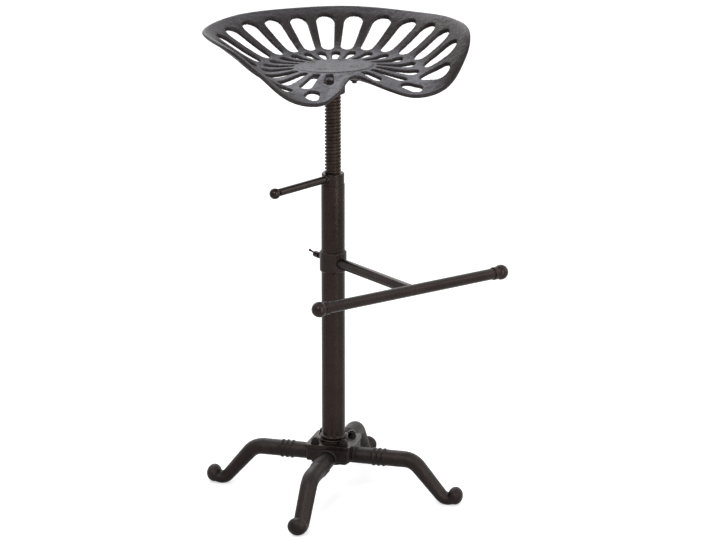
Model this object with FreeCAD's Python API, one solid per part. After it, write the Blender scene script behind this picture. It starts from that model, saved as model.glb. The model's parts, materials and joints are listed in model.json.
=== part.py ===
import FreeCAD, Part
import math
import os

Vec = FreeCAD.Vector

# Stool with a pierced cast seat on a lead screw. Millimetres, +Z up, the sitter faces -Y.
# The origin is on the floor, on the column's axis. The legs point along the diagonals of X and Y.

# Base casting
foot_reach = 206.0            # from the axis to the lowest point of a foot
leg_height = 74.5             # centre of a leg's level part above the floor
leg_width = 30.0              # level part, across the leg
leg_depth = 28.5              # level part, up and down
ankle_width = 28.0
ankle_depth = 21.5
leg_slope = 49.5              # degrees below level
leg_root = 6.0                # how far a leg reaches into the boss
knee_share = 0.3              # of a leg's taper is done at the knee's end
ankle_share = 0.9             # of it is done where the foot's curl starts
bend_steps = 4                # steps of the outline round each bend of a leg
knee_radius = 34.0
foot_radius = 16.0            # curl of the foot, on the leg's centre line
foot_curl = 60.0              # degrees that the foot turns up past its lowest point
toe_width = 34.0
toe_length = 26.0
toe_height = 31.0
toe_clearance = 1.0           # from the floor to the toe's lowest point
foot_flat = 0.6               # cut off the foot so that it stands flat
bead_count = 3
bead_reach = 74.0             # from the axis to the first bead
bead_step = 9.0
bead_radius = 2.1
block_side = 77.0
block_bottom = 70.0
block_height = 23.0
boss_radius = 28.0            # round boss that joins the legs under the block
corner_round = 3.0

# Column casting
flange_side = 80.0
flange_thickness = 6.5
column_diameter = 40.5
column_bore = 30.5
column_height = 459.5         # from the top of the flange to the column's top face
foot_ring_diameter = 51.0
foot_ring_height = 4.5
foot_ring_bead = 3.2

# Bolts that hold the column to the base
base_bolt_diameter = 8.0
base_bolt_reach = 36.5
base_bolt_clearance = 0.4
base_nut_flats = 13.0
base_nut_height = 6.5
base_head_height = 5.3
base_washer_diameter = 16.0
base_washer_thickness = 1.6
base_bolt_proud = 2.0         # bolt's end past its nut
crown_share = 0.96            # flat end of a nut or head, as a share of its flats

# Lead screw and the nut in the column's top
screw_diameter = 28.0
screw_pitch = 6.0
thread_depth = 2.3
crest_width = 2.2
flank_width = 0.8
thread_clearance = 0.3
nut_head_diameter = 38.8
nut_head_height = 20.0
nut_spigot_diameter = 35.0
nut_spigot_length = 32.0
nut_chamfer = 1.2
fit_gap = 0.1                 # round pieces that stay put inside each other
running_gap = 0.3             # round pieces that slide or turn on each other
screw_rise = 60.0             # travel left above the rest height
screw_fall = 138.0            # travel left below the rest height
stop_gap = 0.7                # left between the stops at either end of the travel
grub_diameter = 5.0
grub_depth = 2.0              # how far it goes into the nut
grub_sink = 0.5               # below the column's surface
grub_slot = 0.9
edge_round = 1.0              # small bevel on turned edges
overlap = 1.0                 # by which solids to be joined or cut run into each other

# Loose washer and screw that stop the lead screw from leaving its nut
stop_washer_thickness = 3.0
stop_pilot_diameter = 12.0
stop_head_diameter = 19.0
stop_head_height = 5.0
stop_shank_diameter = 8.0
stop_shank_length = 22.0
stop_screw_gap = 1.0          # between the screw's end and its hole's bottom
axial_play = 0.2

# Seat casting, from the hub's top face
seat_turn = -8.0              # degrees about the column at rest
seat_thickness = 6.5
hub_rise = 1.5                # hub's top above the pan's floor
hub_thickness = 9.5
hub_half_width = 66.0
hub_half_depth = 52.0
hub_forward = 11.0            # hub oval's centre in front of the axis
hub_edge_round = 1.0
pan_inner = 34.0              # the pan's skin starts here, inside the hub
# angle from the back, radius, height above the pan's floor: right half, the left one mirrors it
rim_stations = (
    (0, 201, 62), (30, 209, 62), (60, 217, 60), (90, 220, 65.5), (112, 229.5, 60.5), (126, 231, 34),
    (140, 219.5, -10), (153, 190, -23.5), (164, 145.5, -11), (172, 114, 1), (180, 103, 4),
)
ring_stations = (
    (0, 98, 4), (30, 102, 4), (60, 114, 4), (90, 131, 4), (115, 149, 0), (135, 150, -10),
    (155, 118, -10), (180, 82, -2),
)
rim_flare = 0.65              # rim's slope as a share of the wall's
slot_pitch = 16.4             # degrees
outer_slots = 19
inner_slots = 20
ring_half_width = 4.5         # of the ring left between the two rows of slots
rim_band = 21.0               # left between the outer slots and the rim
hub_band = 6.0                # left between the hub and the inner slots
outer_slot_share = 0.66       # slot's width as a share of the pitch
lobe_slot_share = 0.46        # the same for the last outer slot, in the lobe beside the notch
lobe_slot_inset = 9.0         # wider ring before that slot
inner_slot_share = 0.54
skin_step = 5.0               # degrees between the sections that the pan's skins pass through
skin_overrun = 10.0           # degrees that half a skin runs past the middle
skin_rows = 8                 # steps of a section from the hub to the rim
edge_rows = 4                 # steps of a section round the rim's edge

# Flange between the seat and the lead screw
seat_flange_diameter = 96.0
seat_flange_thickness = 8.0
socket_diameter = 42.0
socket_length = 32.3
socket_floor = 4.0            # left over the end of the screw's spindle
socket_fillet = 5.0
spindle_diameter = 20.0
pin_diameter = 6.0
seat_bolt_diameter = 8.0
seat_bolt_edge = 8.0          # from the circle of the bolts to the flange's rim
seat_bolt_count = 4
seat_bolt_clearance = 0.4
countersink_diameter = 15.0
countersink_land = 0.5        # straight edge of a countersunk head
seat_nut_flats = 13.0
seat_nut_height = 6.5
seat_washer_diameter = 16.0
seat_washer_thickness = 1.6
seat_bolt_proud = 3.5
driver_slot_width = 1.6
driver_slot_depth = 1.6

# Lock lever in the nut's head
lever_height_below_top = 8.5
lever_azimuth = -70.0         # degrees from the front, towards -X
lever_reach = 147.0           # from the axis to the ball's centre
lever_diameter = 13.0
lever_ball_diameter = 18.5
lever_thread_diameter = 8.0
lever_boss_diameter = 17.4
lever_boss_reach = 23.0
lever_boss_round = 4.0
lever_shoulder_gap = 1.0      # between the lever's shoulder and the boss
pad_length = 3.0
pad_diameter = 7.6
pad_gap = 0.3                 # between a pad and what it presses on
lever_tenon_diameter = 6.0
lever_tenon_length = 8.0

# Footrest
footrest_height = 423.2
footrest_turn = 6.7           # degrees about the column
collar_diameter = 46.5
collar_height = 36.0
collar_chamfer = 2.0
arm_diameter = 18.5
arm_reach = 225.3             # from the axis to the crossbar's centre line
bar_diameter = 19.0
bar_half_length = 188.0       # to the centres of the balls
bar_ball_diameter = 26.0
neck_ring_diameter = 22.0
neck_ring_width = 4.0
bar_tenon_diameter = 10.0
bar_tenon_length = 14.0
arm_tenon_diameter = 11.0

# Thumb screw in the collar's back
thumb_diameter = 8.0
thumb_reach = 47.0            # from the axis to the tommy bar
thumb_head_diameter = 11.0
thumb_head_length = 12.0
thumb_boss_diameter = 15.0
thumb_boss_rise = 3.0
tommy_diameter = 3.0
tommy_half_length = 20.0
tommy_end_diameter = 4.6
tommy_end_length = 2.0
tommy_clearance = 0.25
tommy_tilt = 34.5             # degrees above level

# Levels and radii worked out from the sizes above
flange_bottom = block_bottom + block_height
flange_top = flange_bottom + flange_thickness
column_top = flange_top + column_height
column_radius = column_diameter / 2
nut_top = column_top + nut_head_height
nut_bottom = column_top - nut_spigot_length
screw_radius = screw_diameter / 2
root_radius = screw_radius - thread_depth
screw_bottom = nut_bottom - screw_rise - stop_gap
lever_level = nut_top - lever_height_below_top
socket_bottom = nut_top + stop_gap + screw_fall
flange_underside = socket_bottom + socket_length
hub_bottom = flange_underside + seat_flange_thickness
seat_height = hub_bottom + hub_thickness
seat_bolt_reach = seat_flange_diameter / 2 - seat_bolt_edge
pan_level = seat_height - hub_rise
spindle_top = hub_bottom - socket_floor
pin_level = (socket_bottom + flange_underside) / 2
grub_level = column_top - nut_spigot_length / 2
collar_radius = collar_diameter / 2
sleeve_radius = column_radius + running_gap


def cylinder(diameter, bottom, top, x=0.0, y=0.0):
    return Part.makeCylinder(diameter / 2, top - bottom, Vec(x, y, bottom))


def turn_about_column(shape, degrees):
    copy = shape.copy()
    copy.rotate(Vec(0, 0, 0), Vec(0, 0, 1), degrees)
    return copy


def around(shape, count, first=0.0):
    return [turn_about_column(shape, first + 360.0 * i / count) for i in range(count)]


def rod(diameter, start, end, level):
    """A round rod along +X at a level."""
    return Part.makeCylinder(diameter / 2, end - start, Vec(start, 0, level), Vec(1, 0, 0))


def hexagon(flats, level, height, x, y):
    """A nut or head that starts at a level. A negative height goes down. Its far end is crowned."""
    corner = flats / math.sqrt(3)
    tall = abs(height)
    turns = [math.radians(60 * i) for i in range(7)]
    outline = Part.makePolygon([Vec(corner * math.cos(a), corner * math.sin(a), 0) for a in turns])
    tip = flats / 2 * crown_share
    crown = Part.makeCone(tip + tall * math.tan(math.radians(60)), tip, tall)
    shape = Part.Face(outline).extrude(Vec(0, 0, tall)).common(crown)
    if height < 0:
        shape.rotate(Vec(0, 0, 0), Vec(1, 0, 0), 180)
    shape.translate(Vec(x, y, level))
    return shape


def square_plate(side, bottom, height):
    """A square plate with its sides square to the legs."""
    plate = Part.makeBox(side, side, height, Vec(-side / 2, -side / 2, bottom))
    upright = [e for e in plate.Edges if abs(e.tangentAt(e.FirstParameter).z) > 0.99]
    return turn_about_column(plate.makeFillet(corner_round, upright), 45)


def revolve(points):
    """A solid of revolution about the column from (radius, level) points."""
    wire = Part.makePolygon([Vec(r, 0, z) for r, z in points + points[:1]])
    return Part.Face(wire).revolve(Vec(0, 0, 0), Vec(0, 0, 1), 360)


def hermite(t, start, end, start_slope, end_slope):
    return ((2 * t**3 - 3 * t**2 + 1) * start + (t**3 - 2 * t**2 + t) * start_slope
            + (3 * t**2 - 2 * t**3) * end + (t**3 - t**2) * end_slope)


def leg_stretches():
    """Stretches of a leg's centre line, root, knee, shank and foot, each as places along it.
    A place is (reach, level, degrees below level, share of the taper)."""
    slope = math.radians(leg_slope)
    foot_level = ankle_depth / 2 - foot_flat
    knee_drop = knee_radius * (1 - math.cos(slope))
    foot_drop = foot_radius * (1 - math.cos(slope))
    straight = (leg_height - foot_level - knee_drop - foot_drop) / math.sin(slope)
    knee_start = foot_reach - (knee_radius + foot_radius) * math.sin(slope) - straight * math.cos(slope)
    knee = []
    foot = []
    for i in range(bend_steps + 1):
        a = slope * i / bend_steps
        knee.append((knee_start + knee_radius * math.sin(a), leg_height - knee_radius * (1 - math.cos(a)),
                     math.degrees(a), knee_share * i / bend_steps))
        a = slope - (slope + math.radians(foot_curl)) * i / bend_steps
        foot.append((foot_reach - foot_radius * math.sin(a), foot_level + foot_radius * (1 - math.cos(a)),
                     math.degrees(a), ankle_share + (1 - ankle_share) * i / bend_steps))
    root = [(boss_radius - leg_root, leg_height, 0.0, 0.0), knee[0]]
    shank = [knee[-1], foot[0]]
    return [root, knee, shank, foot]


def leg_section(reach, level, slope, share):
    """The oval outline of a leg at one place."""
    width = leg_width + (ankle_width - leg_width) * share
    depth = leg_depth + (ankle_depth - leg_depth) * share
    oval = Part.Ellipse(Vec(0, width / 2, 0), Vec(0, 0, depth / 2), Vec(0, 0, 0))
    ring = Part.Wire(oval.toShape())
    ring.rotate(Vec(0, 0, 0), Vec(0, 1, 0), slope)
    ring.translate(Vec(reach, 0, level))
    return ring


def leg():
    stretches = leg_stretches()
    toe = Part.makeSphere(1)
    stretch = FreeCAD.Matrix()
    stretch.scale(Vec(toe_length / 2, toe_width / 2, toe_height / 2))
    toe = toe.transformGeometry(stretch)
    toe.translate(Vec(stretches[-1][-1][0], 0, toe_clearance + toe_height / 2))
    whole = toe
    for places in stretches:
        bar = Part.makeLoft([leg_section(*place) for place in places], True, len(places) == 2)
        whole = whole.fuse(bar)
    for i in range(bead_count):
        bead = Part.makeTorus(leg_depth / 2, bead_radius, Vec(bead_reach + bead_step * i, 0, leg_height),
                              Vec(1, 0, 0))
        whole = whole.fuse(bead)
    return whole


def circle_places(reach, count, first):
    """Points on a circle about the column."""
    turns = [math.radians(first + 360.0 * i / count) for i in range(count)]
    return [(reach * math.cos(a), reach * math.sin(a)) for a in turns]


def holes(diameter, bottom, top, places):
    return [cylinder(diameter, bottom, top, x, y) for x, y in places]


def base_casting():
    whole = square_plate(block_side, block_bottom, block_height)
    whole = whole.fuse(cylinder(2 * boss_radius, leg_height - leg_depth / 2, flange_bottom - corner_round))
    for one in around(leg(), 4, 45):
        whole = whole.fuse(one)
    half = 2 * foot_reach
    floor = Part.makeBox(2 * half, 2 * half, half, Vec(-half, -half, -half))
    bolt_holes = holes(base_bolt_diameter + base_bolt_clearance, 0, flange_top, base_bolt_places)
    return whole.cut([floor] + bolt_holes)


def column_casting():
    ring = foot_ring_diameter / 2
    ring_top = flange_top + foot_ring_height
    body = square_plate(flange_side, flange_bottom, flange_thickness)
    tube = revolve([(0, flange_bottom), (ring, flange_bottom), (ring, ring_top - edge_round),
                    (ring - edge_round, ring_top), (column_radius, ring_top), (column_radius, column_top),
                    (0, column_top)])
    moulding = Part.makeTorus(column_radius, foot_ring_bead, Vec(0, 0, ring_top + foot_ring_bead))
    bore = cylinder(column_bore, flange_bottom, column_top)
    counterbore = cylinder(nut_spigot_diameter + 2 * fit_gap, nut_bottom, column_top)
    grub = rod(grub_diameter + 2 * fit_gap, 0, column_diameter, grub_level)
    bolt_holes = holes(base_bolt_diameter + base_bolt_clearance, flange_bottom, flange_top, base_bolt_places)
    return body.fuse([tube, moulding]).cut([bore, counterbore, grub] + bolt_holes)


def grub_screw():
    """Set screw that keeps the nut from turning in the column."""
    end = column_radius - grub_sink
    body = rod(grub_diameter, nut_spigot_diameter / 2 - grub_depth, end, grub_level)
    return body.cut(Part.makeBox(driver_slot_depth, 2 * grub_diameter, grub_slot,
                                 Vec(end - driver_slot_depth, -grub_diameter, grub_level - grub_slot / 2)))


def base_bolts():
    nut_seat = flange_top + base_washer_thickness
    end = nut_seat + base_nut_height + base_bolt_proud
    return [cylinder(base_bolt_diameter, block_bottom, end, x, y).fuse(
        hexagon(base_nut_flats, block_bottom, -base_head_height, x, y)) for x, y in base_bolt_places]


def washer(outer, bolt, bottom, top, x, y):
    return cylinder(outer, bottom, top, x, y).cut(cylinder(bolt + 2 * fit_gap, bottom, top, x, y))


def base_washers():
    top = flange_top + base_washer_thickness
    return [washer(base_washer_diameter, base_bolt_diameter, flange_top, top, x, y)
            for x, y in base_bolt_places]


def nut(flats, bolt, level, height, x, y):
    reach = 2 * abs(height)
    hole = cylinder(bolt + 2 * fit_gap, level - reach, level + reach, x, y)
    return hexagon(flats, level, height, x, y).cut(hole)


def base_nuts():
    return [nut(base_nut_flats, base_bolt_diameter, flange_top + base_washer_thickness, base_nut_height, x, y)
            for x, y in base_bolt_places]


def thread(grow, bottom, top):
    """The lead screw's thread as a solid, grown on every flank to cut the nut's thread."""
    root = root_radius + grow
    crest = screw_radius + grow
    crest_flat = crest_width + 2 * grow
    root_flat = screw_pitch - crest_flat - 2 * flank_width
    first = math.floor((bottom - screw_bottom) / screw_pitch) - 2
    turns = math.ceil((top - screw_bottom) / screw_pitch) + 1 - first
    start = screw_bottom + first * screw_pitch + grow
    profile = [(root, 0.0), (root, root_flat), (crest, root_flat + flank_width),
               (crest, root_flat + flank_width + crest_flat), (root, screw_pitch)]
    helices = []
    for r, rise in profile:
        helix = Part.makeLongHelix(screw_pitch, screw_pitch * turns, r, 0, False)
        helix.translate(Vec(0, 0, start + rise))
        helices.append(helix.Edges)
    faces = []
    for i in range(turns):
        for lower, upper in zip(helices[:-1], helices[1:]):
            faces.append(Part.makeRuledSurface(lower[i], upper[i]))
    low = Part.Edge(Part.Circle(Vec(0, 0, start - screw_pitch), Vec(0, 0, 1), root))
    high = Part.Edge(Part.Circle(Vec(0, 0, start + (turns + 2) * screw_pitch), Vec(0, 0, 1), root))
    faces += [Part.makeRuledSurface(low, helices[0][0]), Part.makeRuledSurface(helices[-1][-1], high)]
    faces += [Part.Face(Part.Wire(low)), Part.Face(Part.Wire(high))]
    for level in (start, start + turns * screw_pitch):
        corners = [Vec(r, 0, level + rise) for r, rise in profile[1:]]
        faces.append(Part.Face(Part.makePolygon(corners + corners[:1])))
    shell = Part.Compound(faces)
    shell.sewShape(0.001)
    return Part.Solid(shell).common(cylinder(4 * crest, bottom, top)).Solids[0]


def towards_lever(shape):
    """Turns a shape made along +X to the lever's direction."""
    return turn_about_column(shape, lever_azimuth - 90)


def towards_footrest(shape):
    """Turns a shape made with its arm along +X to the footrest's direction."""
    return turn_about_column(shape, footrest_turn - 90)


def round_end(shape, reach, radius):
    """Rounds the edges of a shape's end that faces +X."""
    return shape.makeFillet(radius, [e for e in shape.Edges if e.BoundBox.XMin > reach - 0.01])


def column_nut():
    head = nut_head_diameter / 2
    spigot = nut_spigot_diameter / 2
    body = revolve([(0, nut_bottom), (spigot, nut_bottom), (spigot, column_top), (head, column_top),
                    (head, nut_top - nut_chamfer), (head - nut_chamfer, nut_top), (0, nut_top)])
    boss = rod(lever_boss_diameter, 0, lever_boss_reach, lever_level)
    boss = round_end(boss, lever_boss_reach, lever_boss_round)
    lever_hole = rod(lever_thread_diameter + 2 * fit_gap, 0, lever_boss_reach, lever_level)
    grub = rod(grub_diameter + 2 * fit_gap, spigot - grub_depth, column_radius, grub_level)
    core = thread(thread_clearance, nut_bottom - overlap, nut_top + overlap)
    return body.fuse(towards_lever(boss)).cut([towards_lever(lever_hole), grub]).cut(core)


def lock_lever():
    shoulder = lever_boss_reach + lever_shoulder_gap
    neck = lever_reach - lever_ball_diameter / 2
    shank = rod(lever_thread_diameter, screw_radius + pad_gap + pad_length, shoulder + overlap, lever_level)
    bar = rod(lever_diameter, shoulder, neck, lever_level)
    tenon = rod(lever_tenon_diameter, neck - overlap, neck + lever_tenon_length, lever_level)
    return towards_lever(shank.fuse([bar, tenon]))


def lock_lever_ball():
    neck = lever_reach - lever_ball_diameter / 2
    ball = Part.makeSphere(lever_ball_diameter / 2, Vec(lever_reach, 0, lever_level))
    bar = rod(lever_diameter, 0, neck, lever_level)
    hole = rod(lever_tenon_diameter, neck - overlap, neck + lever_tenon_length, lever_level)
    return towards_lever(ball.cut([bar, hole]))


def lock_pad():
    start = screw_radius + pad_gap
    return towards_lever(rod(pad_diameter, start, start + pad_length, lever_level))


def lead_screw():
    washer_top = screw_bottom - axial_play
    pilot_bottom = washer_top - stop_washer_thickness - axial_play
    pilot = cylinder(stop_pilot_diameter, pilot_bottom, screw_bottom + overlap)
    spindle = cylinder(spindle_diameter, socket_bottom - overlap, spindle_top)
    tapped = cylinder(stop_shank_diameter + 2 * fit_gap, pilot_bottom, screw_bottom + stop_shank_length)
    cross = turn_about_column(rod(pin_diameter, -screw_diameter, screw_diameter, pin_level), seat_turn)
    return thread(0, screw_bottom, socket_bottom).fuse([spindle, pilot]).cut([tapped, cross])


def stop_washer():
    top = screw_bottom - axial_play
    bottom = top - stop_washer_thickness
    ring = cylinder(column_bore - 2 * running_gap, bottom, top)
    return ring.cut(cylinder(stop_pilot_diameter + 2 * running_gap, bottom, top))


def stop_screw():
    top = screw_bottom - stop_washer_thickness - 2 * axial_play
    bottom = top - stop_head_height
    head = cylinder(stop_head_diameter, bottom, top)
    shank = cylinder(stop_shank_diameter, bottom, screw_bottom + stop_shank_length - stop_screw_gap)
    slot = Part.makeBox(2 * stop_head_diameter, driver_slot_width, driver_slot_depth,
                        Vec(-stop_head_diameter, -driver_slot_width / 2, bottom))
    return turn_about_column(head.fuse(shank).cut(slot), seat_turn)


def seat_flange():
    rim = seat_flange_diameter / 2
    socket = socket_diameter / 2
    body = revolve([(0, socket_bottom), (socket - edge_round, socket_bottom),
                    (socket, socket_bottom + edge_round), (socket, flange_underside - socket_fillet),
                    (socket + socket_fillet, flange_underside), (rim, flange_underside),
                    (rim, hub_bottom), (0, hub_bottom)])
    bore = cylinder(spindle_diameter + 2 * fit_gap, socket_bottom, spindle_top)
    cross = rod(pin_diameter, -socket_diameter, socket_diameter, pin_level)
    hole = seat_bolt_diameter + seat_bolt_clearance
    bolt_holes = holes(hole, flange_underside - socket_fillet, hub_bottom, seat_bolt_places)
    return turn_about_column(body.cut([bore, cross] + bolt_holes), seat_turn)


def flange_pin():
    half = socket_diameter / 2
    return turn_about_column(rod(pin_diameter, -half, half, pin_level), seat_turn)


def countersunk(diameter, bottom, x, y):
    """A countersunk head with its shank. The head is flush with the hub's top."""
    head = countersink_diameter / 2
    cone = head - seat_bolt_diameter / 2
    level = seat_height - countersink_land - cone
    shank = cylinder(diameter, bottom, level + cone / 2, x, y)
    return shank.fuse([Part.makeCone(head - cone, head, cone, Vec(x, y, level)),
                       cylinder(countersink_diameter, level + cone, seat_height, x, y)])


def seat_bolts():
    bottom = flange_underside - seat_washer_thickness - seat_nut_height - seat_bolt_proud
    bolts = []
    for x, y in seat_bolt_places:
        corner = Vec(x - countersink_diameter, y - driver_slot_width / 2, seat_height - driver_slot_depth)
        slot = Part.makeBox(2 * countersink_diameter, driver_slot_width, driver_slot_depth, corner)
        bolts.append(turn_about_column(countersunk(seat_bolt_diameter, bottom, x, y).cut(slot), seat_turn))
    return bolts


def seat_washers():
    bottom = flange_underside - seat_washer_thickness
    rings = [washer(seat_washer_diameter, seat_bolt_diameter, bottom, flange_underside, x, y)
             for x, y in seat_bolt_places]
    return [turn_about_column(ring, seat_turn) for ring in rings]


def seat_nuts():
    level = flange_underside - seat_washer_thickness
    nuts = [nut(seat_nut_flats, seat_bolt_diameter, level, -seat_nut_height, x, y)
            for x, y in seat_bolt_places]
    return [turn_about_column(one, seat_turn) for one in nuts]


def station(angle, stations):
    """Values at an angle from the back, smoothly between the stations of the right half."""
    angle = abs((angle + 180.0) % 360.0 - 180.0)
    before = (-stations[1][0],) + stations[1][1:]
    after = (360 - stations[-2][0],) + stations[-2][1:]
    rows = (before,) + stations + (after,)
    i = 1
    while angle > rows[i + 1][0]:
        i += 1
    a, b, c, d = rows[i - 1:i + 3]
    span = c[0] - b[0]
    t = (angle - b[0]) / span
    return [hermite(t, b[k], c[k], (c[k] - a[k]) / (c[0] - a[0]) * span, (d[k] - b[k]) / (d[0] - b[0]) * span)
            for k in range(1, len(b))]


def hub_edge(angle):
    """Distance from the axis to the hub oval's edge."""
    side = math.sin(math.radians(angle))
    back = math.cos(math.radians(angle))
    square = (side / hub_half_width)**2 + (back / hub_half_depth)**2
    cross = back * hub_forward / hub_half_depth**2
    rest = (hub_forward / hub_half_depth)**2 - 1
    return (-cross + math.sqrt(cross**2 - square * rest)) / square


def pan_level_at(angle, radius):
    """Height of the pan's top above its floor, along a ray from the axis."""
    rim_radius, rim_level = station(angle, rim_stations)
    ring_radius, ring_level = station(angle, ring_stations)
    start = hub_edge(angle)
    wall_slope = (rim_level - ring_level) / (rim_radius - ring_radius)
    floor_slope = ring_level / (ring_radius - start)
    ring_slope = (wall_slope + floor_slope) / 2
    if radius <= start:
        return 0.0
    if radius < ring_radius:
        span = ring_radius - start
        return hermite((radius - start) / span, 0.0, ring_level, 0.0, ring_slope * span)
    span = rim_radius - ring_radius
    return hermite((radius - ring_radius) / span, ring_level, rim_level, ring_slope * span,
                   rim_flare * wall_slope * span)


def pan_point(angle, radius, level):
    """A point of the pan. The angle runs from the back (+Y) towards +X."""
    turn = math.radians(angle)
    return Vec(radius * math.sin(turn), radius * math.cos(turn), pan_level + level)


def pan_section(angle):
    """Top, rounded edge and underside of the pan along one ray."""
    start = hub_edge(angle)
    end = station(angle, rim_stations)[0] - seat_thickness / 2
    radii = [pan_inner] + [start + (end - start) * i / skin_rows for i in range(skin_rows + 1)]
    top = []
    under = []
    for radius in radii:
        level = pan_level_at(angle, radius)
        slope = pan_level_at(angle, radius + 0.5) - pan_level_at(angle, radius - 0.5)
        length = math.hypot(1, slope)
        top.append((radius, level))
        under.append((radius + seat_thickness * slope / length, level - seat_thickness / length))
    (r1, z1), (r2, z2) = top[-1], under[-1]
    edge = []
    for i in range(edge_rows + 1):
        along = math.cos(math.pi * i / edge_rows) / 2
        out = math.sin(math.pi * i / edge_rows) / 2
        edge.append(((r1 + r2) / 2 + (r1 - r2) * along + (z1 - z2) * out,
                     (z1 + z2) / 2 + (z1 - z2) * along + (r2 - r1) * out))
    return top, edge, under


def skin(sections, angles, k):
    surface = Part.BSplineSurface()
    surface.interpolate([[pan_point(a, r, z) for r, z in section[k]] for a, section in zip(angles, sections)])
    return surface


def pan_half():
    """Right half of the pan without slots. Its skins run past the middle and are cut there."""
    count = round((180 + 2 * skin_overrun) / skin_step)
    angles = [-skin_overrun + (180 + 2 * skin_overrun) * i / count for i in range(count + 1)]
    sections = [pan_section(a) for a in angles]
    skins = [skin(sections, angles, k) for k in range(3)]
    ends = []
    for u, (top, edge, under) in ((0, sections[0]), (1, sections[-1])):
        sides = [s.uIso(s.bounds()[u]).toShape() for s in skins]
        a = angles[0] if u == 0 else angles[-1]
        sides.append(Part.makeLine(pan_point(a, *top[0]), pan_point(a, *under[0])))
        ends.append(Part.Face(Part.Wire(Part.__sortEdges__(sides))))
    inner = Part.makeRuledSurface(skins[0].vIso(skins[0].bounds()[2]).toShape(),
                                  skins[2].vIso(skins[2].bounds()[2]).toShape())
    shell = Part.Compound([s.toShape() for s in skins] + ends + [inner])
    shell.sewShape(0.01)
    size = 2 * max(row[1] for row in rim_stations)
    return Part.Solid(shell).common(Part.makeBox(size, 2 * size, 2 * size, Vec(0, -size, pan_level - size)))


def slot(angle, start, end, share):
    """A tapered slot with round ends, cut straight down. Its width is a share of the pitch at each end."""
    chord = 2 * math.sin(math.radians(slot_pitch) / 2) * share / 2
    small = start * chord / (1 - chord)
    large = end * chord / (1 + chord)
    first = start + small
    last = end - large
    lean = (large - small) / (last - first)
    rise = math.sqrt(1 - lean**2)
    a = Vec(first - small * lean, small * rise, 0)
    b = Vec(last - large * lean, large * rise, 0)
    c = Vec(b.x, -b.y, 0)
    d = Vec(a.x, -a.y, 0)
    outline = Part.Wire([Part.makeLine(a, b), Part.Arc(b, Vec(last + large, 0, 0), c).toShape(),
                         Part.makeLine(c, d), Part.Arc(d, Vec(first - small, 0, 0), a).toShape()])
    prism = Part.Face(outline).extrude(Vec(0, 0, 2 * last))
    prism.translate(Vec(0, 0, pan_level - last))
    return turn_about_column(prism, 90 - angle)


def half_slots():
    """Slots of the right half. The one in the middle of the back is cut in half with the pan."""
    slots = []
    last = outer_slots // 2
    for i in range(last + 1):
        a = i * slot_pitch
        inset = lobe_slot_inset if i == last else 0
        slots.append(slot(a, station(a, ring_stations)[0] + ring_half_width + inset,
                          station(a, rim_stations)[0] - rim_band,
                          lobe_slot_share if i == last else outer_slot_share))
    for i in range(inner_slots // 2):
        a = (i + 0.5) * slot_pitch
        slots.append(slot(a, hub_edge(a) + hub_band, station(a, ring_stations)[0] - ring_half_width,
                          inner_slot_share))
    return slots


def seat_pan():
    right = pan_half().cut(half_slots())
    left = right.mirror(Vec(0, 0, 0), Vec(1, 0, 0))
    side = Vec(hub_half_width, -hub_forward, hub_bottom)
    back = Vec(0, hub_half_depth - hub_forward, hub_bottom)
    oval = Part.Ellipse(side, back, Vec(0, -hub_forward, hub_bottom))
    hub = Part.Face(Part.Wire(oval.toShape())).extrude(Vec(0, 0, hub_thickness))
    hub = hub.makeFillet(hub_edge_round, [e for e in hub.Edges if e.BoundBox.ZMin > seat_height - 0.01])
    hole = seat_bolt_diameter + seat_bolt_clearance
    sinks = [countersunk(hole, hub_bottom, x, y) for x, y in seat_bolt_places]
    return turn_about_column(hub.fuse([right, left]).cut(sinks), seat_turn)


def footrest_bracket():
    """Collar that slides on the column, with its arm. The arm's tenon goes through the crossbar."""
    bottom = footrest_height - collar_height / 2
    top = footrest_height + collar_height / 2
    inner = collar_radius - collar_chamfer
    collar = revolve([(0, bottom), (inner, bottom), (collar_radius, bottom + collar_chamfer),
                      (collar_radius, top - collar_chamfer), (inner, top), (0, top)])
    arm = rod(arm_diameter, 0, arm_reach, footrest_height).cut(crossbar_blank())
    tenon = rod(arm_tenon_diameter, arm_reach - bar_diameter, arm_reach + bar_diameter / 2, footrest_height)
    boss = rod(thumb_boss_diameter, -collar_radius - thumb_boss_rise, 0, footrest_height)
    tapped = rod(thumb_diameter + 2 * fit_gap, -2 * collar_radius, 0, footrest_height)
    bore = cylinder(2 * sleeve_radius, bottom, top)
    return towards_footrest(collar.fuse([arm, tenon, boss]).cut([bore, tapped]))


def bar_end():
    """Half length of the crossbar up to the shoulder of a ball's tenon."""
    return bar_half_length - bar_ball_diameter / 2 - neck_ring_width


def across_footrest(diameter, start, end):
    """A round rod along the crossbar's centre line."""
    return Part.makeCylinder(diameter / 2, end - start, Vec(arm_reach, start, footrest_height), Vec(0, 1, 0))


def crossbar_blank():
    return across_footrest(bar_diameter, -bar_end(), bar_end())


def footrest_bar():
    tenons = [across_footrest(bar_tenon_diameter, side * bar_end() - bar_tenon_length,
                              side * bar_end() + bar_tenon_length) for side in (-1, 1)]
    hole = rod(arm_tenon_diameter, 0, arm_reach + bar_diameter, footrest_height)
    return towards_footrest(crossbar_blank().fuse(tenons).cut(hole))


def footrest_balls():
    balls = []
    for side in (-1, 1):
        ball = Part.makeSphere(bar_ball_diameter / 2, Vec(arm_reach, side * bar_half_length, footrest_height))
        face = side * bar_end()
        ring = across_footrest(neck_ring_diameter, min(face, face + side * neck_ring_width * 2),
                               max(face, face + side * neck_ring_width * 2))
        socket = across_footrest(bar_tenon_diameter, face - bar_tenon_length, face + bar_tenon_length)
        balls.append(towards_footrest(ball.fuse(ring).cut(socket)))
    return balls


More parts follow.
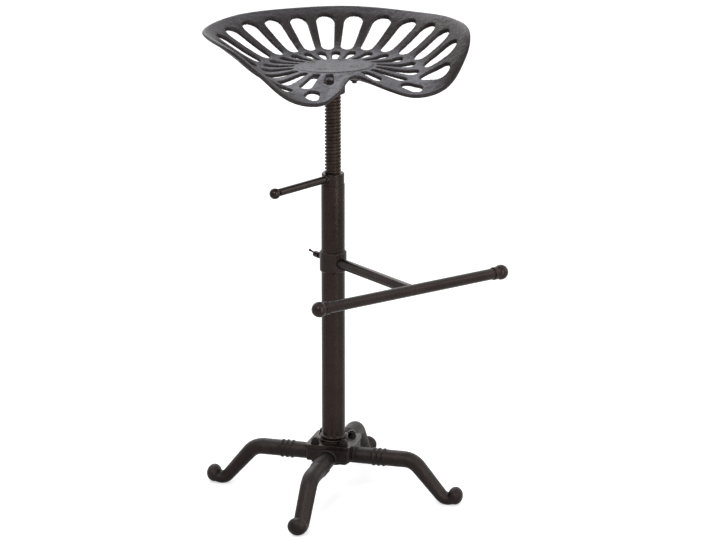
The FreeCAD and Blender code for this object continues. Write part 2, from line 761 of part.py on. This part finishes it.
def thumb_screw():
    tip = sleeve_radius + pad_length + axial_play
    half = thumb_head_length / 2
    shank = rod(thumb_diameter, -thumb_reach, -tip, footrest_height)
    head = rod(thumb_head_diameter, -thumb_reach - half, -thumb_reach + half, footrest_height)
    hole = tommy_rod(tommy_diameter + 2 * tommy_clearance, thumb_head_diameter)
    return towards_footrest(shank.fuse(head).cut(hole))


def thumb_pad():
    return towards_footrest(rod(pad_diameter, -sleeve_radius - pad_length, -sleeve_radius, footrest_height))


def tommy_rod(diameter, half_length, start=None):
    """A rod across the thumb screw's head, along its tilted hole."""
    tilt = math.radians(tommy_tilt)
    way = Vec(0, -math.cos(tilt), math.sin(tilt))
    start = -half_length if start is None else start
    middle = Vec(-thumb_reach, 0, footrest_height)
    return Part.makeCylinder(diameter / 2, half_length - start, middle + way * start, way)


def tommy_bar():
    end = tommy_half_length - tommy_end_length
    tips = [tommy_rod(tommy_end_diameter, tommy_half_length, end),
            tommy_rod(tommy_end_diameter, -end, -tommy_half_length)]
    return towards_footrest(tommy_rod(tommy_diameter, tommy_half_length).fuse(tips))


base_bolt_places = circle_places(base_bolt_reach, 4, 0)
seat_bolt_places = circle_places(seat_bolt_reach, seat_bolt_count, 45)

nodes = {
    "base_spider": base_casting,
    "base_bolts": base_bolts,
    "base_washers": base_washers,
    "base_nuts": base_nuts,
    "column": column_casting,
    "column_nut": column_nut,
    "column_grub_screw": grub_screw,
    "lock_lever": lock_lever,
    "lock_lever_ball": lock_lever_ball,
    "lock_pad": lock_pad,
    "lead_screw": lead_screw,
    "stop_washer": stop_washer,
    "stop_screw": stop_screw,
    "seat_flange": seat_flange,
    "flange_pin": flange_pin,
    "seat_pan": seat_pan,
    "seat_bolts": seat_bolts,
    "seat_washers": seat_washers,
    "seat_nuts": seat_nuts,
    "footrest_bracket": footrest_bracket,
    "footrest_bar": footrest_bar,
    "footrest_balls": footrest_balls,
    "thumb_screw": thumb_screw,
    "thumb_pad": thumb_pad,
    "tommy_bar": tommy_bar,
}

os.makedirs("parts", exist_ok=True)
for name, make in nodes.items():
    made = make()
    shape = Part.Compound(made) if isinstance(made, list) else made
    shape.exportStep("parts/" + name + ".step")
    print(name, len(shape.Solids), "solids, valid" if shape.isValid() else "solids, NOT VALID",
          round(shape.Volume / 1000, 2), "cm3")
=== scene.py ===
import json
import math
import bmesh
import bpy
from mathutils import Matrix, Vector


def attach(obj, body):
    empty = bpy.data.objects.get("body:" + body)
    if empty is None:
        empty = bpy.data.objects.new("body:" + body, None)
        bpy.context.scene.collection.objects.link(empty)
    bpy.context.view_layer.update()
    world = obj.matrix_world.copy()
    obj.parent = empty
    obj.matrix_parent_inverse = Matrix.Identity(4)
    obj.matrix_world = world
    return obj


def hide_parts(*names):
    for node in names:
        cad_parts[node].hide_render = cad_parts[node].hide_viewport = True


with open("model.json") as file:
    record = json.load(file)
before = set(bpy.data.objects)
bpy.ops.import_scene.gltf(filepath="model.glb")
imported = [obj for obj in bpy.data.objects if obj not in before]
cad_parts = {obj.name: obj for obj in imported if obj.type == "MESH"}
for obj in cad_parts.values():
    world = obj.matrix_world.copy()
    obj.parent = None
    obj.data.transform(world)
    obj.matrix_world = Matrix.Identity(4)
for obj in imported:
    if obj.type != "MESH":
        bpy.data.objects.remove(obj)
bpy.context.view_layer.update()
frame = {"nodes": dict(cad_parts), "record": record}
nodes = frame["nodes"]
slotOfNode = {part["node"]: part["material_slot"] for part in frame["record"]["subparts"]}
scene = bpy.context.scene
print("frame loaded:", len(nodes), "pieces")


def addObject(name, data):
    made = bpy.data.objects.new(name, data)
    scene.collection.objects.link(made)
    return made


# Shader helpers. Each input takes a number, a colour or another node's output.

def feed(tree, socket, value):
    if isinstance(value, bpy.types.NodeSocket):
        tree.links.new(value, socket)
    else:
        socket.default_value = value


def addNode(tree, kind, inputs=None, **settings):
    node = tree.nodes.new(kind)
    for key, value in settings.items():
        setattr(node, key, value)
    for key, value in (inputs or {}).items():
        feed(tree, node.inputs[key], value)
    return node


def mathNode(tree, operation, a, b, clamp=False):
    return addNode(tree, "ShaderNodeMath", {0: a, 1: b}, operation=operation, use_clamp=clamp).outputs[0]


def remap(tree, value, fromLow, fromHigh, toLow=0.0, toHigh=1.0):
    return addNode(tree, "ShaderNodeMapRange",
                   {0: value, 1: fromLow, 2: fromHigh, 3: toLow, 4: toHigh}).outputs[0]


def mixColour(tree, share, a, b):
    return addNode(tree, "ShaderNodeMix", {0: share, 6: a, 7: b}, data_type="RGBA").outputs[2]


def noise(tree, where, scale, detail, rough):
    return addNode(tree, "ShaderNodeTexNoise",
                   {"Vector": where, "Scale": scale, "Detail": detail, "Roughness": rough}).outputs[0]


def objectPoint(tree):
    return addNode(tree, "ShaderNodeTexCoord").outputs["Object"]


def roundedNormal(tree, radius):
    return addNode(tree, "ShaderNodeBevel", {"Radius": radius}, samples=6).outputs[0]


def opaque(colour):
    return tuple(colour) + (1.0,)


def newGroup(name, inputs, outputs):
    tree = bpy.data.node_groups.new(name, "ShaderNodeTree")
    for side, socketNames in (("INPUT", inputs), ("OUTPUT", outputs)):
        for socketName in socketNames:
            tree.interface.new_socket(socketName, in_out=side, socket_type="NodeSocketFloat")
    return tree, tree.nodes.new("NodeGroupInput").outputs, tree.nodes.new("NodeGroupOutput").inputs


def useGroup(tree, group, **values):
    return addNode(tree, "ShaderNodeGroup", values, node_tree=group).outputs


# Sand-cast skin: fine grain, small pits, low lumps and broad uneven patches.

castSkin = {
    "grain": {"detail": 4.0, "rough": 0.6},
    "patches": {"detail": 5.0, "rough": 0.62},
    "pits": {"detail": 2.0, "rough": 0.5},
    "lumps": {"scale": 110.0, "detail": 2.0, "rough": 0.5},
    "patchRange": (0.35, 0.65), "pitRange": (0.36, 0.24), "pitsPerGrain": 0.35,
}


def makeCastGrain():
    tree, given, out = newGroup("castGrain", ("grainPerMetre", "pits", "lumps", "patchPerMetre"),
                                ("patches", "grain", "height"))
    where = objectPoint(tree)
    grain = noise(tree, where, given["grainPerMetre"], **castSkin["grain"])
    patches = noise(tree, where, given["patchPerMetre"], **castSkin["patches"])
    pitsPerMetre = mathNode(tree, "MULTIPLY", given["grainPerMetre"], castSkin["pitsPerGrain"])
    pitMask = remap(tree, noise(tree, where, pitsPerMetre, **castSkin["pits"]), *castSkin["pitRange"])
    pits = mathNode(tree, "MULTIPLY", pitMask, given["pits"])
    lumps = mathNode(tree, "MULTIPLY", noise(tree, where, **castSkin["lumps"]), given["lumps"])
    height = mathNode(tree, "ADD", mathNode(tree, "SUBTRACT", grain, pits), lumps)
    feed(tree, out["patches"], remap(tree, patches, *castSkin["patchRange"]))
    feed(tree, out["grain"], grain)
    feed(tree, out["height"], height)
    return tree


# Mask of the edges and high ridges that hands and cloth rub bright. With a wide band, as on the seat, it
# also paints rim highlights.

edgeRubAndGlint = {
    "cloud": {"scale": 160.0, "detail": 4.0, "rough": 0.65}, "cloudRange": (0.38, 0.62),
    "ridgeRange": (0.53, 0.6), "cornerRange": (0.995, 0.9),
}


def makeEdgeWearAndGlint():
    tree, given, out = newGroup("edgeWearAndGlint", ("width", "amount", "ridges"), ("mask",))
    geometry = addNode(tree, "ShaderNodeNewGeometry").outputs
    ridge = remap(tree, geometry["Pointiness"], *edgeRubAndGlint["ridgeRange"])
    ridge = mathNode(tree, "MULTIPLY", ridge, given["ridges"])
    turn = addNode(tree, "ShaderNodeVectorMath",
                   {0: roundedNormal(tree, given["width"]), 1: geometry["Normal"]}, operation="DOT_PRODUCT")
    corner = remap(tree, turn.outputs["Value"], *edgeRubAndGlint["cornerRange"])
    rubAndGlintCloud = remap(tree, noise(tree, objectPoint(tree), **edgeRubAndGlint["cloud"]), *edgeRubAndGlint["cloudRange"])
    mask = mathNode(tree, "MULTIPLY", mathNode(tree, "MAXIMUM", ridge, corner), rubAndGlintCloud)
    feed(tree, out["mask"], mathNode(tree, "MULTIPLY", mask, given["amount"], clamp=True))
    return tree


# Mask of the faces that look up, which get a painted highlight: a lighter, greyer colour standing in for the
# bright room they reflect.

topSheenLook = {
    "cloud": {"scale": 130.0, "detail": 5.0, "rough": 0.65}, "cloudRange": (0.36, 0.64),
    "levelFace": 1.0,
}


def makePaintedTopSheen():
    tree, given, out = newGroup("paintedTopSheen", ("start", "amount", "uneven"), ("mask",))
    normal = addNode(tree, "ShaderNodeNewGeometry").outputs["Normal"]
    up = addNode(tree, "ShaderNodeSeparateXYZ", {0: normal}).outputs["Z"]
    facing = remap(tree, up, given["start"], topSheenLook["levelFace"])
    cloud = noise(tree, objectPoint(tree), **topSheenLook["cloud"])
    sheenGap = remap(tree, cloud, *topSheenLook["cloudRange"], toLow=1.0, toHigh=0.0)
    kept = mathNode(tree, "SUBTRACT", 1.0, mathNode(tree, "MULTIPLY", sheenGap, given["uneven"]))
    mask = mathNode(tree, "MULTIPLY", facing, kept)
    feed(tree, out["mask"], mathNode(tree, "MULTIPLY", mask, given["amount"], clamp=True))
    return tree


# Fine rings left by turning or drawing, across the piece's own vertical.

turning = {"stretch": (0.02, 0.02, 1.0), "detail": 2.0, "rough": 0.5}


def makeTurnedMarks():
    tree, given, out = newGroup("turnedMarks", ("ringsPerMetre",), ("height",))
    spread = addNode(tree, "ShaderNodeVectorMath", {0: objectPoint(tree), 1: turning["stretch"]},
                     operation="MULTIPLY").outputs[0]
    rings = noise(tree, spread, given["ringsPerMetre"], turning["detail"], turning["rough"])
    feed(tree, out["height"], rings)
    return tree


castGrain = makeCastGrain()
edgeWearAndGlint = makeEdgeWearAndGlint()
paintedTopSheen = makePaintedTopSheen()
turnedMarks = makeTurnedMarks()


# Finishes. Colours are linear, sizes are in metres, grain and rings are counts in a metre.

def newMaterial(name):
    material = bpy.data.materials.new(name)
    material.use_nodes = True
    tree = material.node_tree
    tree.nodes.clear()
    shader = addNode(tree, "ShaderNodeBsdfPrincipled")
    addNode(tree, "ShaderNodeOutputMaterial", {0: shader.outputs[0]})
    return material, tree, shader


grainRange = (0.3, 0.7)


def dressShader(tree, shader, look, colour, grain, height):
    bump = addNode(tree, "ShaderNodeBump", {"Height": height, "Normal": roundedNormal(tree, look["edge"]),
                                            "Strength": 1.0, "Distance": look["bump"]})
    feed(tree, shader.inputs["Base Color"], colour)
    feed(tree, shader.inputs["Roughness"], remap(tree, grain, *grainRange, *look["rough"]))
    feed(tree, shader.inputs["Normal"], bump.outputs[0])
    feed(tree, shader.inputs["Metallic"], look["metal"])


# Each iron's top colour is a painted highlight on its up-facing faces.
irons = {
    "base_iron": {
        "colour": (0.022, 0.0165, 0.0155), "patch": (0.032, 0.024, 0.022), "patchPerMetre": 22.0,
        "wornAndGlint": (0.15, 0.138, 0.138), "wearAndGlint": 0.45, "edge": 0.0016, "ridges": 1.0,
        "top": (0.05, 0.044, 0.045), "topFrom": 0.5, "topAmount": 0.6, "uneven": 0.2,
        "metal": 0.85, "rough": (0.32, 0.52), "grain": 330.0, "pits": 0.5, "lumps": 1.2, "bump": 0.0007},
    "column_iron": {
        "colour": (0.027, 0.0185, 0.017), "patch": (0.037, 0.0255, 0.0225), "patchPerMetre": 22.0,
        "wornAndGlint": (0.13, 0.115, 0.11), "wearAndGlint": 0.4, "edge": 0.0012, "ridges": 0.0,
        "top": (0.05, 0.042, 0.041), "topFrom": 0.5, "topAmount": 0.6, "uneven": 0.2,
        "metal": 0.88, "rough": (0.20, 0.34), "grain": 420.0, "pits": 0.25, "lumps": 0.6, "bump": 0.00025},
    "seat_iron": {
        "colour": (0.020, 0.0155, 0.0155), "patch": (0.032, 0.026, 0.027), "patchPerMetre": 22.0,
        # On the seat the worn colour and wide edge band are partly real wear and partly painted rim
        # highlights.
        "wornAndGlint": (0.27, 0.265, 0.28), "wearAndGlint": 0.8, "edge": 0.0034, "ridges": 1.0,
        "top": (0.11, 0.11, 0.13), "topFrom": 0.86, "topAmount": 1.0, "uneven": 0.65,
        "metal": 0.85, "rough": (0.34, 0.56), "grain": 280.0, "pits": 0.6, "lumps": 1.3, "bump": 0.0008},
    "footrest_iron": {
        "colour": (0.028, 0.0205, 0.019), "patch": (0.038, 0.028, 0.0255), "patchPerMetre": 22.0,
        "wornAndGlint": (0.15, 0.135, 0.13), "wearAndGlint": 0.4, "edge": 0.0012, "ridges": 0.0,
        "top": (0.055, 0.047, 0.046), "topFrom": 0.5, "topAmount": 0.6, "uneven": 0.2,
        "metal": 0.88, "rough": (0.19, 0.32), "grain": 480.0, "pits": 0.2, "lumps": 0.5, "bump": 0.00022},
}


def makeIron(name):
    look = irons[name]
    material, tree, shader = newMaterial(name)
    skin = useGroup(tree, castGrain, grainPerMetre=look["grain"], pits=look["pits"], lumps=look["lumps"],
                    patchPerMetre=look["patchPerMetre"])
    wearAndGlint = useGroup(tree, edgeWearAndGlint, width=look["edge"], amount=look["wearAndGlint"], ridges=look["ridges"])
    topSheenMask = useGroup(tree, paintedTopSheen, start=look["topFrom"], amount=look["topAmount"],
                     uneven=look["uneven"])
    colour = mixColour(tree, skin["patches"], opaque(look["colour"]), opaque(look["patch"]))
    # Up-facing faces get the painted highlight colour.
    colour = mixColour(tree, topSheenMask["mask"], colour, opaque(look["top"]))
    # Rubbed edges get the worn colour; on the seat this also paints rim highlights.
    colour = mixColour(tree, wearAndGlint["mask"], colour, opaque(look["wornAndGlint"]))
    dressShader(tree, shader, look, colour, skin["grain"], skin["height"])
    return material


steels = {
    "screw_steel": {
        "colour": (0.031, 0.0215, 0.0175), "patch": (0.054, 0.0365, 0.0285), "wornAndGlint": (0.24, 0.205, 0.18),
        "wearAndGlint": 0.6, "metal": 0.95, "rough": (0.26, 0.48), "rings": 1800.0, "bump": 0.00005, "edge": 0.0006},
    "bolt_steel": {
        "colour": (0.024, 0.0195, 0.018), "patch": (0.036, 0.029, 0.027), "wornAndGlint": (0.17, 0.16, 0.155),
        "wearAndGlint": 0.6, "metal": 0.9, "rough": (0.28, 0.44), "rings": 2600.0, "bump": 0.00004, "edge": 0.0005},
    "lever_steel": {
        "colour": (0.025, 0.0195, 0.018), "patch": (0.036, 0.028, 0.0255), "wornAndGlint": (0.17, 0.155, 0.15),
        "wearAndGlint": 0.5, "metal": 0.9, "rough": (0.18, 0.30), "rings": 2600.0, "bump": 0.00004, "edge": 0.0006},
    "pad_brass": {
        "colour": (0.50, 0.35, 0.13), "patch": (0.62, 0.46, 0.20), "wornAndGlint": (0.80, 0.65, 0.36),
        "wearAndGlint": 0.6, "metal": 1.0, "rough": (0.28, 0.42), "rings": 2600.0, "bump": 0.00003, "edge": 0.0005},
}
steelSkin = {"grainPerMetre": 300.0, "patchPerMetre": 70.0}


def makeSteel(name):
    look = steels[name]
    material, tree, shader = newMaterial(name)
    skin = useGroup(tree, castGrain, **steelSkin)
    wearAndGlint = useGroup(tree, edgeWearAndGlint, width=look["edge"], amount=look["wearAndGlint"])
    marks = useGroup(tree, turnedMarks, ringsPerMetre=look["rings"])
    colour = mixColour(tree, skin["patches"], opaque(look["colour"]), opaque(look["patch"]))
    colour = mixColour(tree, wearAndGlint["mask"], colour, opaque(look["wornAndGlint"]))
    dressShader(tree, shader, look, colour, skin["grain"], marks["height"])
    return material


materials = {name: makeIron(name) for name in irons}
materials.update({name: makeSteel(name) for name in steels})
for nodeName, nodeObject in nodes.items():
    for place in nodeObject.material_slots:
        place.link = "OBJECT"
        place.material = materials[slotOfNode[nodeName]]
print("finishes made:", len(materials))


# Castings with their edges softened, as they leave the sand. Sizes are in metres.

castings = {
    "seat_pan": {"piece": "seatCasting", "body": "seat", "voxel": 0.0012, "passes": 6},
    "base_spider": {"piece": "baseCasting", "body": "stand", "voxel": 0.0012, "passes": 6},
}
weldDistance = 0.00001
softenShare = 0.5


def weldedCopy(mesh):
    copy = mesh.copy()
    welded = bmesh.new()
    welded.from_mesh(copy)
    bmesh.ops.remove_doubles(welded, verts=welded.verts, dist=weldDistance)
    welded.to_mesh(copy)
    welded.free()
    return copy


def softened(mesh, look):
    rough = addObject(look["piece"] + "Rough", mesh)
    remesh = rough.modifiers.new("skin", "REMESH")
    remesh.mode = "VOXEL"
    remesh.voxel_size = look["voxel"]
    remesh.use_smooth_shade = True
    soften = rough.modifiers.new("soften", "SMOOTH")
    soften.factor = softenShare
    soften.iterations = look["passes"]
    graph = bpy.context.evaluated_depsgraph_get()
    finished = bpy.data.meshes.new_from_object(rough.evaluated_get(graph))
    bpy.data.objects.remove(rough)
    return finished


def makeCasting(nodeName, look):
    mesh = softened(weldedCopy(nodes[nodeName].data), look)
    mesh.materials.clear()
    mesh.materials.append(materials[slotOfNode[nodeName]])
    piece = addObject(look["piece"], mesh)
    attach(piece, look["body"])
    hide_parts(nodeName)
    print(piece.name, "faces:", len(mesh.polygons))


for castingName, castingLook in castings.items():
    makeCasting(castingName, castingLook)


# Floor, light and camera. Places and sizes are in metres, angles in degrees, the lens in millimetres.

room = {
    "floorSize": 9.0, "floorColour": (0.9, 0.9, 0.9), "floorRough": 0.9, "floorGlow": 0.5,
    "skyLight": 0.55, "darkSide": (-0.64, -0.77, 0.0), "darkRange": (0.1, 0.95), "sheenLoss": 0.45,
    "lampAim": (0.0, 0.0, 0.45),
}
lamps = {
    "keyLamp": {"place": (-2.6, -2.2, 3.4), "width": 1.2, "height": 1.2, "watts": 55.0},
    "stripLamp": {"place": (0.4, -2.9, 1.15), "width": 0.35, "height": 2.3, "watts": 26.0},
    "fillLamp": {"place": (3.4, -1.6, 2.0), "width": 2.0, "height": 2.6, "watts": 22.0},
    "backLamp": {"place": (0.8, 3.2, 3.0), "width": 2.4, "height": 2.4, "watts": 30.0},
}
view = {
    "place": (-2.476, -4.520, 1.883), "turn": -29.1875, "down": 15.99,
    "lens": 156.9, "sensor": 36.0, "farthest": 50.0,
}
white = (1.0, 1.0, 1.0)


def makeFloor():
    half = room["floorSize"] / 2
    mesh = bpy.data.meshes.new("floor")
    corners = [(-half, -half, 0), (half, -half, 0), (half, half, 0), (-half, half, 0)]
    mesh.from_pydata(corners, [], [(0, 1, 2, 3)])
    floor = addObject("floor", mesh)
    material, tree, shader = newMaterial("paleFloor")
    seen = addNode(tree, "ShaderNodeLightPath").outputs["Is Camera Ray"]
    feed(tree, shader.inputs["Base Color"], opaque(room["floorColour"]))
    feed(tree, shader.inputs["Roughness"], room["floorRough"])
    feed(tree, shader.inputs["Emission Color"], opaque(white))
    feed(tree, shader.inputs["Emission Strength"], mathNode(tree, "MULTIPLY", seen, room["floorGlow"]))
    mesh.materials.append(material)


# The camera and mirror-like surfaces see a white room, which lights everything else more weakly.
# Reflections of its dark side are dimmer.

def makeSky():
    world = bpy.data.worlds.new("studio")
    world.use_nodes = True
    scene.world = world
    tree = world.node_tree
    tree.nodes.clear()
    rays = addNode(tree, "ShaderNodeLightPath").outputs
    where = addNode(tree, "ShaderNodeTexCoord").outputs["Generated"]
    front = addNode(tree, "ShaderNodeVectorMath", {0: where, 1: room["darkSide"]}, operation="DOT_PRODUCT")
    dark = remap(tree, front.outputs["Value"], *room["darkRange"])
    seen = mathNode(tree, "MAXIMUM", rays["Is Camera Ray"], rays["Is Glossy Ray"])
    seen = mathNode(tree, "MAXIMUM", seen, rays["Is Transmission Ray"])
    strength = remap(tree, seen, 0.0, 1.0, room["skyLight"], 1.0)
    loss = mathNode(tree, "MULTIPLY", rays["Is Glossy Ray"], room["sheenLoss"])
    loss = mathNode(tree, "MULTIPLY", loss, dark)
    background = addNode(tree, "ShaderNodeBackground",
                         {"Color": opaque(white), "Strength": mathNode(tree, "SUBTRACT", strength, loss)})
    addNode(tree, "ShaderNodeOutputWorld", {0: background.outputs[0]})


def makeLamp(name, look):
    lamp = bpy.data.lights.new(name, "AREA")
    lamp.shape = "RECTANGLE"
    lamp.size = look["width"]
    lamp.size_y = look["height"]
    lamp.energy = look["watts"]
    holder = addObject(name, lamp)
    holder.location = look["place"]
    away = Vector(look["place"]) - Vector(room["lampAim"])
    holder.rotation_euler = away.to_track_quat("Z", "Y").to_euler()


def makeCamera():
    camera = bpy.data.cameras.new("camera")
    camera.sensor_width = view["sensor"]
    camera.sensor_fit = "HORIZONTAL"
    camera.lens = view["lens"]
    camera.clip_end = view["farthest"]
    holder = addObject("camera", camera)
    holder.location = view["place"]
    holder.rotation_euler = (math.radians(90.0 - view["down"]), 0.0, math.radians(view["turn"]))
    scene.camera = holder


makeFloor()
makeSky()
for lampName, lampLook in lamps.items():
    makeLamp(lampName, lampLook)
makeCamera()
scene.view_settings.view_transform = "Standard"
print("floor, light and camera set")
